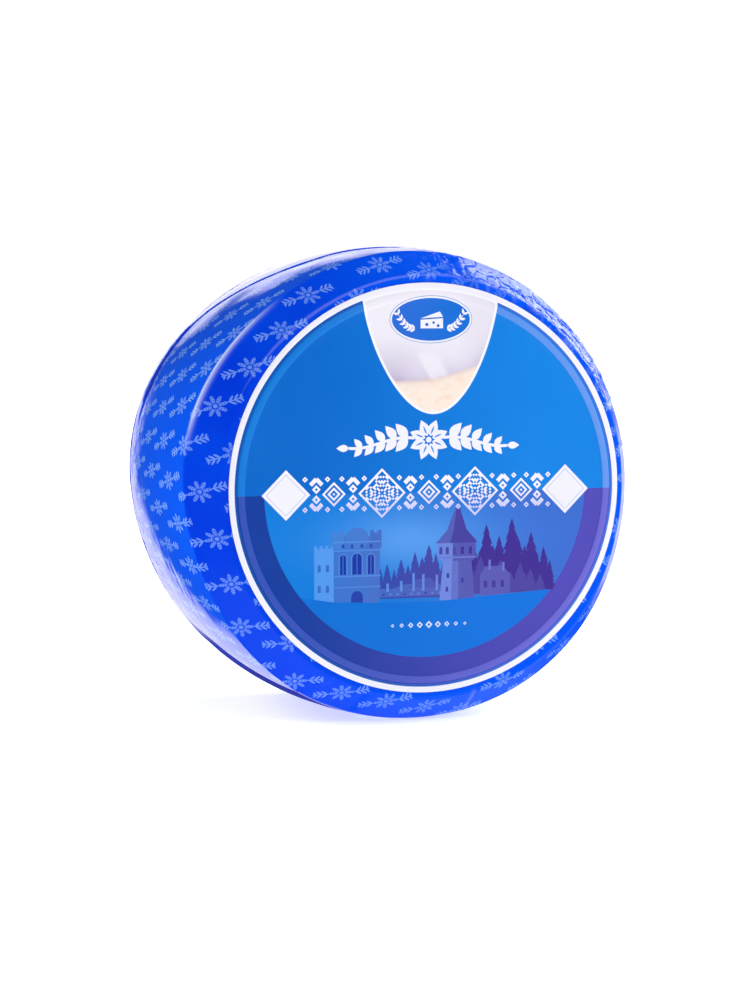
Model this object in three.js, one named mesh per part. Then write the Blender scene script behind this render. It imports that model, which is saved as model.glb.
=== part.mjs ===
// A pressed cheese wheel in printed shrink film, standing on its edge, with a round label on its face.
// Millimetres, +Z up. The wheel's axis runs along Y, with the labelled face towards -Y. The origin is
// on the floor, under the middle of the wheel.
import * as THREE from "three";

// Driving dimensions of the wheel, over the film.
const WHEEL_RADIUS = 140; // at the crown of the side
const WHEEL_THICKNESS = 160; // from the label's printed face to the back
const AXIS_HEIGHT = 138.2; // the wheel's own weight flattens its foot by the rest of the radius
const CROWN_Y = -5; // where the barrelled side is widest
const BARREL_RADIUS = 640; // the slow curve of the side, seen along the floor

// The two rims: a flat bevel turns the face into the side, a round shoulder turns the side into the back.
const BEVEL_DEPTH = 14; // from the face to the crease where the bevel meets the side
const BEVEL_TURN = 45; // degrees between the side's outward direction and the bevel's
const FACE_EDGE_RADIUS = 5;
const CREASE_RADIUS = 3;
const SHOULDER_RADIUS = 16;
const FACE_SHIFT = 5.5; // the face sits this far to +X of the wheel's axis, so the bevel is uneven

// Film, label and the clearance between pieces that touch.
const FILM = 0.4;
const GAP = 0.3;
const LABEL_RADIUS = 120;
const LABEL = 0.4;
const LABEL_EDGE = 0.15; // small chamfer round the label's printed face

// The film's lap, as directions round the rear shoulder: 0 faces out from the axis, 90 faces back.
const LAP_START = 22; // free edge of the back panel
const FRONT_PANEL_END = 40; // the front panel stops here, under the lap
const LAP_END = 42.5; // the back panel steps down onto the cheese from here
const LAP_STEPPED = 47; // and lies on it from here

const SEGMENTS = 96; // round the wheel

// A pressed wheel is never quite round: each entry is a number of bulges in a turn, their height and
// the direction of the first, in degrees from +X towards +Z.
const OUT_OF_ROUND = [
  [2, 1.0, 123],
  [3, 0.6, 63],
  [4, 0.5, 71],
  [5, 0.7, 21],
];

const FACE_Y = -WHEEL_THICKNESS / 2 + LABEL + GAP; // the film's outer surface in front
const BACK_Y = WHEEL_THICKNESS / 2;
const CREASE_Y = FACE_Y + BEVEL_DEPTH;

const radians = THREE.MathUtils.degToRad;
const degrees = THREE.MathUtils.radToDeg;

// A station is a point of the wheel's outline with the direction the surface faces there, measured from
// straight out (0) towards the back (90) or towards the front (-90).
function station(radius, y, turn) {
  return { radius, y, turn };
}

function arc(centre, radius, from, to, steps) {
  return Array.from({ length: steps + 1 }, (_, i) => {
    const turn = from + ((to - from) * i) / steps;
    const a = radians(turn);
    return station(centre.radius + radius * Math.cos(a), centre.y + radius * Math.sin(a), turn);
  });
}

// The outline of the film's outer surface, from the edge of the flat face to the edge of the flat back.
const barrelCentre = { radius: WHEEL_RADIUS - BARREL_RADIUS, y: CROWN_Y };

// The barrel starts where the crease's arc, drawn inside it, brings the crease to its stated depth.
const creaseTurn = -degrees(Math.asin((CROWN_Y - CREASE_Y) / BARREL_RADIUS));
const creaseCentre = {
  radius: barrelCentre.radius + (BARREL_RADIUS - CREASE_RADIUS) * Math.cos(radians(creaseTurn)),
  y: CROWN_Y + (BARREL_RADIUS - CREASE_RADIUS) * Math.sin(radians(creaseTurn)),
};

// The bevel is the straight line that touches both the crease's arc and the face edge's arc.
const bevelOut = Math.cos(radians(BEVEL_TURN));
const bevelForward = Math.sin(radians(BEVEL_TURN));
const faceEdgeCentre = { radius: 0, y: FACE_Y + FACE_EDGE_RADIUS };
faceEdgeCentre.radius = creaseCentre.radius
  + (CREASE_RADIUS - FACE_EDGE_RADIUS - (creaseCentre.y - faceEdgeCentre.y) * bevelForward) / bevelOut;

const shoulderTurn = degrees(
  Math.asin((BACK_Y - CROWN_Y - SHOULDER_RADIUS) / (BARREL_RADIUS - SHOULDER_RADIUS)),
);
const shoulderCentre = {
  radius: barrelCentre.radius + (BARREL_RADIUS - SHOULDER_RADIUS) * Math.cos(radians(shoulderTurn)),
  y: BACK_Y - SHOULDER_RADIUS,
};

const front = [
  ...arc(faceEdgeCentre, FACE_EDGE_RADIUS, -90, -BEVEL_TURN, 2),
  ...arc(creaseCentre, CREASE_RADIUS, -BEVEL_TURN, creaseTurn, 2),
  ...arc(barrelCentre, BARREL_RADIUS, creaseTurn, shoulderTurn, 6).slice(1),
];
const shoulder = (from, to, steps) => arc(shoulderCentre, SHOULDER_RADIUS, from, to, steps);

// Stations moved inwards by the same distance everywhere, as points of a profile. Each keeps the height
// above the floor at which its foot is cut flat.
function inset(stations, depth, foot = depth) {
  return stations.map(({ radius, y, turn }) => ({
    radius: radius - depth * Math.cos(radians(turn)),
    y: y - depth * Math.sin(radians(turn)),
    foot,
  }));
}

const onAxis = (y) => ({ radius: 0, y, foot: 0 });

function bulge(direction) {
  return OUT_OF_ROUND.reduce(
    (sum, [count, height, first]) => sum + height * Math.cos(radians(count * (direction - first))),
    0,
  );
}

// Turns a profile into a body round the wheel's axis, out of round like the cheese, with its face
// shifted and its foot cut flat.
function wheelGeometry(profile) {
  const points = profile.map(({ radius, y }) => new THREE.Vector2(radius, y));
  const geometry = new THREE.LatheGeometry(points, SEGMENTS);
  const positions = geometry.attributes.position;
  const point = new THREE.Vector3();
  for (let i = 0; i < positions.count; i += 1) {
    point.fromBufferAttribute(positions, i);
    const swelling = 1 + bulge(degrees(Math.atan2(point.z, point.x))) / WHEEL_RADIUS;
    const shift = FACE_SHIFT * THREE.MathUtils.clamp((CREASE_Y - point.y) / BEVEL_DEPTH, 0, 1);
    const floor = profile[i % profile.length].foot - AXIS_HEIGHT;
    positions.setX(i, point.x * swelling + shift);
    positions.setZ(i, Math.max(point.z * swelling, floor));
  }
  return geometry;
}

function piece(name, geometry, color, roughness) {
  const mesh = new THREE.Mesh(geometry, new THREE.MeshStandardMaterial({ color, roughness }));
  mesh.name = name;
  return mesh;
}

// The cheese: one solid, a film's thickness and a gap inside the outline.
function cheeseBody() {
  const depth = FILM + GAP;
  const profile = [
    onAxis(FACE_Y + depth),
    ...inset([...front, ...shoulder(shoulderTurn, 90, 5).slice(1)], depth, depth + GAP),
    onAxis(BACK_Y - depth),
  ];
  return piece("cheese_body", wheelGeometry(profile), 0xf0cf7c, 0.6);
}

// The front film: a cup of constant thickness over the face, bevel and side, open towards the back.
function filmFrontPanel() {
  const stations = [...front, ...shoulder(shoulderTurn, FRONT_PANEL_END, 2).slice(1)];
  const profile = [
    onAxis(FACE_Y),
    ...inset(stations, 0),
    ...inset(stations, FILM).reverse(),
    onAxis(FACE_Y + FILM),
  ];
  return piece("film_front_panel", wheelGeometry(profile), 0x0a3fd6, 0.25);
}

// The back film: a shallow dish whose rim steps out over the front film's edge.
function filmBackPanel() {
  const lap = shoulder(LAP_START, LAP_END, 2);
  const seat = shoulder(LAP_STEPPED, 90, 3);
  const profile = [
    onAxis(BACK_Y - FILM),
    ...inset(seat, FILM).reverse(),
    ...inset(lap, -GAP).reverse(),
    ...inset(lap, -GAP - FILM),
    ...inset(seat, 0),
    onAxis(BACK_Y),
  ];
  return piece("film_back_panel", wheelGeometry(profile), 0x0a3fd6, 0.25);
}

// The label: a thin round sheet, centred on the face.
function faceLabel() {
  const printedY = -WHEEL_THICKNESS / 2;
  const profile = [
    new THREE.Vector2(0, printedY),
    new THREE.Vector2(LABEL_RADIUS - LABEL_EDGE, printedY),
    new THREE.Vector2(LABEL_RADIUS, printedY + LABEL_EDGE),
    new THREE.Vector2(LABEL_RADIUS, printedY + LABEL),
    new THREE.Vector2(0, printedY + LABEL),
  ];
  const label = piece("face_label", new THREE.LatheGeometry(profile, SEGMENTS), 0x1470c8, 0.35);
  label.position.x = FACE_SHIFT;
  return label;
}

// Everything is built round the wheel's axis, then raised onto its foot and centred over the origin.
const wheel = new THREE.Group();
wheel.add(cheeseBody(), filmFrontPanel(), filmBackPanel(), faceLabel());
const outline = new THREE.Box3().setFromObject(wheel);
wheel.position.set(-(outline.min.x + outline.max.x) / 2, 0, AXIS_HEIGHT);

export default wheel;
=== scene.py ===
"""A pressed cheese wheel in printed shrink film, standing on its edge: the looks, built round its frame.

Everything is in metres, with +Z up, the wheel's axis along Y and its labelled face towards -Y.
"""

import math

import bpy
import numpy as np
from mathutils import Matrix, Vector, geometry, noise


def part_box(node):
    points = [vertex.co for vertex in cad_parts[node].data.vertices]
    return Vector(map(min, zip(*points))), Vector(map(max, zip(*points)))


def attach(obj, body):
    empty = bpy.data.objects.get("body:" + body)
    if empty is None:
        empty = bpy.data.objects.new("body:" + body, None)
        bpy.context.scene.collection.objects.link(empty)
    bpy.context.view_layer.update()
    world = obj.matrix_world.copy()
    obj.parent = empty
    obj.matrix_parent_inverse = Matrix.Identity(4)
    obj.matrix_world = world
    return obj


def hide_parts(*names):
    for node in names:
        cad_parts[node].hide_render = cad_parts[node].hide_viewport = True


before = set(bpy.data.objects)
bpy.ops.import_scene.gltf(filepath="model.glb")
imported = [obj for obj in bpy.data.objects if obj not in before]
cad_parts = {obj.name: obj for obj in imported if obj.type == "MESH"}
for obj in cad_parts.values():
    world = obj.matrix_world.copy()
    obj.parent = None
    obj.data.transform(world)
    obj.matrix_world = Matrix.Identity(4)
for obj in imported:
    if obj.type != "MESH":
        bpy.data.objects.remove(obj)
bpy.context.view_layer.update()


# --- the cheese --------------------------------------------------------------------------------------
# One solid of firm pale-yellow cheese, pressed in a cloth-lined mould: a barrelled side, a flat bevel
# round the face and a rounded shoulder round the back. It stands on a foot flattened by its own weight,
# and the cloth has left its weave in the rind. The film hides all of it.

MM = 0.001
label_low, label_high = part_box("face_label")

CROWN_RADIUS = 140 * MM  # over the film, at the widest part of the side
AXIS_HEIGHT = 138.2 * MM
CROWN_Y = -5 * MM
BARREL_RADIUS = 640 * MM
BEVEL_DEPTH = 14 * MM
BEVEL_TURN = math.radians(45)
FACE_EDGE_RADIUS = 5 * MM
CREASE_RADIUS = 1.6 * MM  # of the corner between the bevel and the side
SHOULDER_RADIUS = 16 * MM
FACE_SHIFT = 5.5 * MM  # the face is this far to +X of the wheel's axis
FILM = 0.4 * MM
GAP = 0.3 * MM  # between the film and the cheese, and under the label
FACE_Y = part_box("film_front_panel")[0].y
BACK_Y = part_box("film_back_panel")[1].y
CREASE_Y = FACE_Y + BEVEL_DEPTH
LABEL_CENTRE = Vector(((label_low.x + label_high.x) / 2, label_low.y, (label_low.z + label_high.z) / 2))
AXIS_X = LABEL_CENTRE.x - FACE_SHIFT

# How far the pressed wheel is from round: bulges in a turn, their height, direction of the first.
OUT_OF_ROUND = ((2, 1.0, 123), (3, 0.6, 63), (4, 0.5, 71), (5, 0.7, 21))


def turned(columns):
    """Directions round the axis, from +X towards +Z, and how much the wheel swells in each."""
    directions = np.arange(columns) * 2 * math.pi / columns
    swelling = 1 + sum(
        height * MM / CROWN_RADIUS * np.cos(count * (directions - math.radians(first)))
        for count, height, first in OUT_OF_ROUND
    )
    return directions, swelling


def arc(centre, radius, start, end, steps):
    """Stations (radius, y, turn) of an arc, where turn is the way the surface faces: 0 out, 90 back."""
    turns = np.linspace(start, end, steps + 1)
    return np.stack([centre[0] + radius * np.cos(turns), centre[1] + radius * np.sin(turns), turns], 1)


def line(start, end, steps):
    """Stations spread evenly from one station to another, without the two ends."""
    shares = np.arange(1, steps)[:, None] / steps
    return np.array(start) + shares * (np.array(end) - np.array(start))


barrel_centre = (CROWN_RADIUS - BARREL_RADIUS, CROWN_Y)
crease_turn = -math.asin((CROWN_Y - CREASE_Y) / BARREL_RADIUS)
crease_centre = (
    barrel_centre[0] + (BARREL_RADIUS - CREASE_RADIUS) * math.cos(crease_turn),
    CROWN_Y + (BARREL_RADIUS - CREASE_RADIUS) * math.sin(crease_turn),
)
edge_y = FACE_Y + FACE_EDGE_RADIUS
edge_radius = crease_centre[0] + (
    CREASE_RADIUS - FACE_EDGE_RADIUS - (crease_centre[1] - edge_y) * math.sin(BEVEL_TURN)
) / math.cos(BEVEL_TURN)
shoulder_turn = math.asin((BACK_Y - CROWN_Y - SHOULDER_RADIUS) / (BARREL_RADIUS - SHOULDER_RADIUS))
shoulder_centre = (
    barrel_centre[0] + (BARREL_RADIUS - SHOULDER_RADIUS) * math.cos(shoulder_turn),
    BACK_Y - SHOULDER_RADIUS,
)


def wheel_outline(face_steps, edge_steps, bevel_steps, side_steps):
    """The outline from the middle of the face, over the bevel and the side, to the rear shoulder."""
    face_edge = arc((edge_radius, edge_y), FACE_EDGE_RADIUS, -math.pi / 2, -BEVEL_TURN, edge_steps)
    crease = arc(crease_centre, CREASE_RADIUS, -BEVEL_TURN, crease_turn, edge_steps)
    side = arc(barrel_centre, BARREL_RADIUS, crease_turn, shoulder_turn, side_steps)
    face = line((0, FACE_Y, -math.pi / 2), face_edge[0], face_steps)
    bevel = line(face_edge[-1], crease[0], bevel_steps)
    return np.concatenate([face, face_edge, bevel, crease, side[1:]])


def outset(stations, height):
    """The same stations moved out of the wheel by height."""
    height = height + 0 * stations[:, 2]
    moved = stations.copy()
    moved[:, 0] += height * np.cos(stations[:, 2])
    moved[:, 1] += height * np.sin(stations[:, 2])
    return moved


def travelled(stations):
    """How far each station is from the middle of the face, measured along the surface."""
    steps = np.hypot(np.diff(stations[:, 0]), np.diff(stations[:, 1]))
    return stations[0, 0] + np.concatenate([[0], np.cumsum(steps)])


def turned_points(stations, columns, relief, foot):
    """Turns stations round the axis into a grid of points (row, column, xyz), pushed out by relief."""
    directions, swelling = turned(columns)
    radius = (stations[:, :1] + relief * np.cos(stations[:, 2:])) * swelling
    y = stations[:, 1:2] + relief * np.sin(stations[:, 2:])
    shift = FACE_SHIFT * np.clip((CREASE_Y - y) / BEVEL_DEPTH, 0, 1)
    x = AXIS_X + shift + radius * np.cos(directions)
    z = np.maximum(AXIS_HEIGHT + radius * np.sin(directions), foot)
    return np.stack([x, y + 0 * x, z], 2)


class Skin:
    """A mesh being wrapped round the axis: grids of points, joined ring to ring."""

    def __init__(self):
        self.points = []
        self.faces = []

    def grid(self, points):
        """Adds rows of points joined by faces, and gives back the numbers of its first and last ring."""
        rows, columns = points.shape[:2]
        start = len(self.points)
        self.points += points.reshape(-1, 3).tolist()
        here = start + np.arange(rows * columns).reshape(rows, columns)
        beyond = np.roll(here, -1, 1)
        corners = [here[:-1], here[1:], beyond[1:], beyond[:-1]]
        self.faces += np.stack(corners, 2).reshape(-1, 4).tolist()
        return here[0].tolist(), here[-1].tolist()

    def cap(self, ring, middle):
        """Closes a ring with one point."""
        apex = len(self.points)
        self.points.append(middle)
        self.faces += [(apex, a, b) for a, b in zip(ring, ring[1:] + ring[:1])]

    def join(self, fine, coarse, outwards):
        """Joins the ring at the edge of an outer grid to the one of an inner grid with fewer columns."""
        share = len(fine) // len(coarse)
        for i, corner in enumerate(coarse):
            run = [fine[(i * share + step) % len(fine)] for step in range(share + 1)]
            face = (corner, *run, coarse[(i + 1) % len(coarse)])
            self.faces.append(face if outwards else face[::-1])

    def piece(self, name):
        """Makes the mesh, and puts it in the scene under this name."""
        mesh = bpy.data.meshes.new(name)
        mesh.from_pydata(self.points, [], self.faces)
        mesh.shade_smooth()
        piece = bpy.data.objects.new(name, mesh)
        bpy.context.scene.collection.objects.link(piece)
        return piece


class Wire:
    """A socket of a node. Sums on wires add Math nodes, and node() adds any other node."""

    def __init__(self, tree, socket=None):
        self.tree = tree
        self.socket = socket

    def node(self, kind, settings, sockets, out=0):
        """Adds a node: its settings first, then a value or a wire on each named socket."""
        added = self.tree.nodes.new("ShaderNode" + kind)
        for name, value in settings.items():
            setattr(added, name, value)
        for name, value in sockets.items():
            if isinstance(value, Wire):
                self.tree.links.new(value.socket, added.inputs[name])
            else:
                added.inputs[name].default_value = value
        return Wire(self.tree, added.outputs[out] if len(added.outputs) else None)

    def math(self, operation, *others):
        """Adds a Math node on this wire and the other wires or numbers."""
        return self.node("Math", {"operation": operation}, dict(enumerate((self, *others))))

    def ramp(self, low, high):
        """A smooth rise from 0 at low to 1 at high, or a fall where low is the greater."""
        sockets = {"Value": self, "From Min": low, "From Max": high}
        return self.node("MapRange", {"interpolation_type": "SMOOTHSTEP"}, sockets)

    def blend(self, start, end):
        """A colour that goes from start to end as this wire goes from 0 to 1."""
        return self.node("Mix", {"data_type": "RGBA"}, {"Factor": self, 6: start, 7: end}, 2)

    def __add__(self, other):
        return self.math("ADD", other)

    def __sub__(self, other):
        return self.math("SUBTRACT", other)

    def __rsub__(self, other):
        return self * -1 + other

    def __mul__(self, other):
        return self.math("MULTIPLY", other)

    def __truediv__(self, other):
        return self.math("DIVIDE", other)

    def __rtruediv__(self, other):
        return self.math("POWER", -1) * other

    __radd__ = __add__
    __rmul__ = __mul__


def new_material(name):
    """An empty material, and a wire to start its nodes from."""
    material = bpy.data.materials.new(name)
    material.use_nodes = True
    material.node_tree.nodes.clear()
    return material, Wire(material.node_tree)


CHEESE_COLUMNS = 240
CLOTH_MARK_SIZE = 9 * MM
CLOTH_MARK_HEIGHT = 0.12 * MM
CLOTH_MARK_DEPTH = 0.05 * MM  # how much lower the marks lie than the plain rind, on the whole

cheese_front = outset(wheel_outline(4, 4, 6, 40), -FILM - GAP)
cheese_back = outset(arc(shoulder_centre, SHOULDER_RADIUS, shoulder_turn, math.pi / 2, 8), -FILM - GAP)
cheese_outline = np.concatenate([cheese_front, cheese_back[1:]])
plain_rind = turned_points(cheese_outline, CHEESE_COLUMNS, 0, 0)
cloth_marks = CLOTH_MARK_HEIGHT * np.array([
    [noise.noise(Vector(point) / CLOTH_MARK_SIZE) for point in ring]
    for ring in plain_rind
]) - CLOTH_MARK_DEPTH
cheese_points = turned_points(cheese_outline, CHEESE_COLUMNS, cloth_marks, FILM + 2 * GAP)
cheese_skin = Skin()
cheese_rings = cheese_skin.grid(cheese_points)
cheese_skin.cap(cheese_rings[0], (LABEL_CENTRE.x, cheese_outline[0, 1], AXIS_HEIGHT))
cheese_skin.cap(cheese_rings[1][::-1], (AXIS_X, cheese_outline[-1, 1], AXIS_HEIGHT))
cheese = cheese_skin.piece("cheese")

# The rind: patches of paler and yellower cheese, a knit of pressed curds, and the weave of the cloth.
rind_material, shader = new_material("cheese_rind")
place = shader.node("TexCoord", {}, {}, 3)
patches = shader.node("TexNoise", {}, {"Vector": place, "Scale": 22, "Detail": 4})
curd = shader.node("TexVoronoi", {"feature": "DISTANCE_TO_EDGE"}, {"Vector": place, "Scale": 140})
knit = curd.ramp(0.0, 0.08)
weave = shader.node("TexWave", {}, {"Vector": place, "Scale": 420, "Distortion": 1.5, "Detail": 1})
rind_colour = patches.ramp(0.35, 0.68).blend((0.80, 0.58, 0.25, 1), (0.91, 0.73, 0.41, 1))
rind_colour = (knit * 0.5 + 0.5).blend((0.70, 0.47, 0.18, 1), rind_colour)
pressed = shader.node("Bump", {}, {
    "Height": weave * 0.3 + knit * 0.7,
    "Strength": 0.5,
    "Distance": 0.4 * MM,
})
surface = shader.node("BsdfPrincipled", {}, {
    "Base Color": rind_colour,
    "Roughness": 0.38 + patches * 0.25,
    "Subsurface Weight": 0.25,
    "Subsurface Radius": (0.012, 0.008, 0.004),
    "Normal": pressed,
})
shader.node("OutputMaterial", {}, {"Surface": surface})
cheese.data.materials.append(rind_material)
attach(cheese, "root")
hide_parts("cheese_body")


# --- the front film ----------------------------------------------------------------------------------
# Blue barrier film, shrunk hot over the face, the bevel and the side as far as the rear shoulder. Its
# shrinking leaves crinkles at the upper right, two long folds at the left, pinches, and puckers behind.

COLUMNS = 720  # of the film's outer surface, round the axis
INNER_COLUMNS = 180  # of the film's hidden inner surface
FRONT_END = math.radians(40)  # round the rear shoulder, under the back film's lap
UNDER_LAP = math.radians(18)  # from here on the front film lies flat under the back film

rear_edge = arc(shoulder_centre, SHOULDER_RADIUS, shoulder_turn, FRONT_END, 10)
film_outline = np.concatenate([wheel_outline(5, 8, 12, 78), rear_edge[1:]])
film_travel = travelled(film_outline)
directions = turned(COLUMNS)[0]

# Every crease is laid out by three measures: degrees round the axis from +X over the top, and in
# millimetres the film's y and its way along the surface from the middle of the face.
degrees = np.degrees(directions)[None, :]
film_y = film_outline[:, 1:2] / MM
film_s = film_travel[:, None] / MM
crease_s = float(np.interp(CREASE_Y, film_outline[4:, 1], film_travel[4:])) / MM
film_place = turned_points(film_outline, COLUMNS, 0, 0)


def smooth(value, low, high):
    """A smooth rise from 0 at low to 1 at high, or a fall where low is the greater."""
    share = np.clip((value - low) / (high - low), 0, 1)
    return share * share * (3 - 2 * share)


def ridge(distance, width):
    """A rounded ridge along the line where distance is zero."""
    return np.exp(-0.5 * (distance / width) ** 2)


def noise_over(places, size, seed):
    """Soft noise from -1 to 1 at each place, in lumps of about this size."""
    flat = places.reshape(-1, 3) / size
    offset = Vector((seed, 2.7 * seed, -1.3 * seed))
    values = [noise.noise(Vector(place) + offset) for place in flat.tolist()]
    return np.array(values).reshape(places.shape[:2])


def creases_over(length, along, seed):
    """Sharp-crested crinkles from 0 to 1, of this length round the wheel, and along its surface as given."""
    turns = CROWN_RADIUS / MM / length
    across = turns * np.cos(directions) + 0 * along
    up = turns * np.sin(directions) + 0 * along
    places = np.stack([across, up, along + seed + 0 * across], 2).reshape(-1, 3)
    values = [noise.ridged_multi_fractal(Vector(place), 0.9, 2.1, 3, 1.0, 1.8) for place in places.tolist()]
    return np.clip(np.array(values).reshape(across.shape) / 2.2, 0, 1)


past_label = smooth(film_s, 120.6, 123.0)  # under the label the film is flat

# The crinkled area: shallow tents between sharp creases, which run mostly round the wheel.
crinkled = smooth(degrees, 17, 32) * smooth(degrees, 98, 74) * smooth(film_y, 30, -25)
crinkles = creases_over(18, film_s / 8, 4.2)
tents = creases_over(34, film_s / 19, 7.7)

# The long fold at the upper left: it comes off the crinkled area, runs back to the rear shoulder, and ends
# there in a tuck.
fold_y = -18 + 71 * smooth(degrees, 104, 140) - 1.3 * np.clip(104 - degrees, 0, 30)
past_fold = (film_y - fold_y) * 0.8  # across the fold, which runs aslant
fold_here = smooth(degrees, 80, 100) * smooth(degrees, 168, 157)
fold_height = 0.35 + 0.75 * smooth(degrees, 130, 146)
step_up = smooth(past_fold, -1.3, 1.3) * np.exp(-np.clip(past_fold, 0, None) / 24)
tuck = ridge(degrees - 156.5, 1.3)
fold_width = 0.45 + 1.2 * smooth(degrees, 132, 146) + 1.6 * tuck
# Painted shade: a dark line along the foot of the fold's step, where the fold shades the film.
fold_shade_line = ridge(past_fold + 0.9, fold_width) * fold_here

# The short fold at the lower left: the film hangs over it in a lip.
lip_y = -3 - 4.2 * (degrees - 225) + 0.7 * np.clip(225 - degrees, 0, 10) ** 2
past_lip = (film_y - lip_y) * 0.75  # across it, as above
lip_here = smooth(degrees, 216, 226) * smooth(degrees, 262, 252)
lip_up = smooth(past_lip, 1.3, -1.3) * np.exp(-np.clip(-past_lip, 0, None) / 13)
# Painted shade: a dark band beyond the lip, where the film turns down into the wheel's own shadow.
lip_shade = smooth(past_lip, -0.6, 1.2) * lip_here * smooth(film_y, -66, -60)

# Between the two folds the film is slack, in long shallow wrinkles round the wheel.
slack = smooth(degrees, 184, 206) * smooth(degrees, 262, 240)
slack = slack * smooth(film_y, -50, 5) * smooth(film_y, 74, 60)
wrinkles = creases_over(60, film_s / 9, 14.0)

# Pinches: little tucks straight across the bevel. Each has its direction, its height and the y it runs to.
PINCHES = ((21.8, 0.75, -66), (9.8, 0.6, -68), (33, 0.4, -66), (57, 0.5, -60), (284, 0.3, -66))
DEGREE_ON_BEVEL = 2.35  # in millimetres
pinches = smooth(film_s, 121, 126) * sum(
    height * ridge((degrees - at) * DEGREE_ON_BEVEL, 0.85) * smooth(film_y, y_end + 8, y_end)
    for at, height, y_end in PINCHES
)

# Along the crease at the upper left the film is drawn into a thin sharp line.
drawn = smooth(degrees, 124, 138) * smooth(degrees, 172, 160)
# This line is a real ridge, and it also carries a painted highlight.
crease_line = ridge(film_s - crease_s, 1.1) * drawn

# Behind, the film gathers in puckers that run over the shoulder.
gathered = smooth(film_y, 28, 64) * smooth(film_outline[:, 2:], UNDER_LAP, math.radians(6))
puckers = creases_over(11, film_y / 45, 9.1)

# The heights of all of these, in millimetres, over a soft unevenness.
film_relief = MM * past_label * (
    0.24 * noise_over(film_place, 60 * MM, 1.0)
    + 0.07 * noise_over(film_place, 17 * MM, 2.0)
    + 1.10 * crinkled * (crinkles - 0.25)
    + 1.00 * crinkled * (tents - 0.3)
    + fold_here * (fold_height * step_up - 0.25 * ridge(past_fold + 1.6, 1.0))
    - 0.4 * tuck * ridge(past_fold + 1.5, 3.0)
    + lip_here * 0.45 * lip_up
    + 0.30 * slack * (wrinkles - 0.3)
    + pinches
    + 0.30 * crease_line
    + 0.55 * gathered * (puckers - 0.3)
)
film_relief = film_relief * smooth(film_outline[:, 2:], UNDER_LAP, math.radians(10))
film_relief = np.maximum(film_relief, -0.25 * MM)  # so that it stays clear of the cheese

front_skin = Skin()
front_outer = front_skin.grid(turned_points(film_outline, COLUMNS, film_relief, 0))
front_skin.cap(front_outer[0], (LABEL_CENTRE.x, FACE_Y, AXIS_HEIGHT))
inner_edge = arc(shoulder_centre, SHOULDER_RADIUS, shoulder_turn, FRONT_END, 6)
inner_outline = outset(np.concatenate([wheel_outline(3, 4, 4, 24), inner_edge[1:]]), -FILM)[::-1]
front_inner = front_skin.grid(turned_points(inner_outline, INNER_COLUMNS, 0, FILM))
front_skin.join(front_outer[1], front_inner[0], False)
front_skin.cap(front_inner[1][::-1], (LABEL_CENTRE.x, FACE_Y + FILM, AXIS_HEIGHT))
film_front = front_skin.piece("film_front")


def mark_points(piece, name, grid, width):
    """Keeps one value or three for each point of a film's outer surface, and zeros for its inner one."""
    kind, field = ("FLOAT", "value") if width == 1 else ("FLOAT_VECTOR", "vector")
    values = np.zeros((len(piece.data.vertices), width))
    values[:grid.size // width] = grid.reshape(-1, width)
    kept = piece.data.attributes.new(name, kind, "POINT")
    kept.data.foreach_set(field, values.ravel())


# The film was printed flat, about the middle of the face, and has drawn in along the side.
SIDE_SHRINK = 0.72
past_crease = np.clip(film_s - crease_s, 0, None)
unrolled = film_s - past_crease * (1 - SIDE_SHRINK)
print_place = np.stack([
    unrolled * np.cos(directions),
    unrolled * np.sin(directions),
    smooth(film_s - crease_s, -1.5, 1.5) + 0 * directions,  # 0 on the face and the bevel, 1 on the side
], 2)
mark_points(film_front, "print_place", print_place, 3)
film_state = np.stack([
    fold_shade_line + lip_shade + 0.35 * crinkled * smooth(crinkles, 0.25, 0.05),  # painted shade: a dark line along the fold, a band under the lip, and the crinkles' troughs
    crease_line + 0.8 * np.clip(pinches, 0, 1) + 0.25 * crinkled * smooth(crinkles, 0.55, 0.9),  # painted highlight: along the crease, on the pinches and on the crinkles' crests
    0 * film_relief,  # how far sealed: the front film isn't
], 2)
mark_points(film_front, "film_state", film_state, 3)
mark_points(film_front, "crumpled", np.clip(crinkled + 0.35 * gathered + 0.2 * slack, 0, 1), 1)

film_material, shader = new_material("printed_shrink_film")
printed = shader.node("Attribute", {"attribute_name": "print_place"}, {}, 1)
state = shader.node("Attribute", {"attribute_name": "film_state"}, {}, 1)
place = shader.node("TexCoord", {}, {}, 3)


def parts(vector):
    """The three wires of a vector."""
    split = vector.node("SeparateXYZ", {}, {0: vector})
    sockets = split.socket.node.outputs
    return [Wire(vector.tree, sockets[axis]) for axis in range(3)]


# The repeat of the print, in millimetres on the flat film: one sprig to every cell of a slanting grid.
REPEAT = ((26.5, -5.5), (8.0, -27.5))
FIRST_SPRIG = (-134.5, 0.5)
SPRIG_TILT = math.radians(17)
SPRIG_FINENESS = 1.14  # how many times smaller than the drawing below


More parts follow.
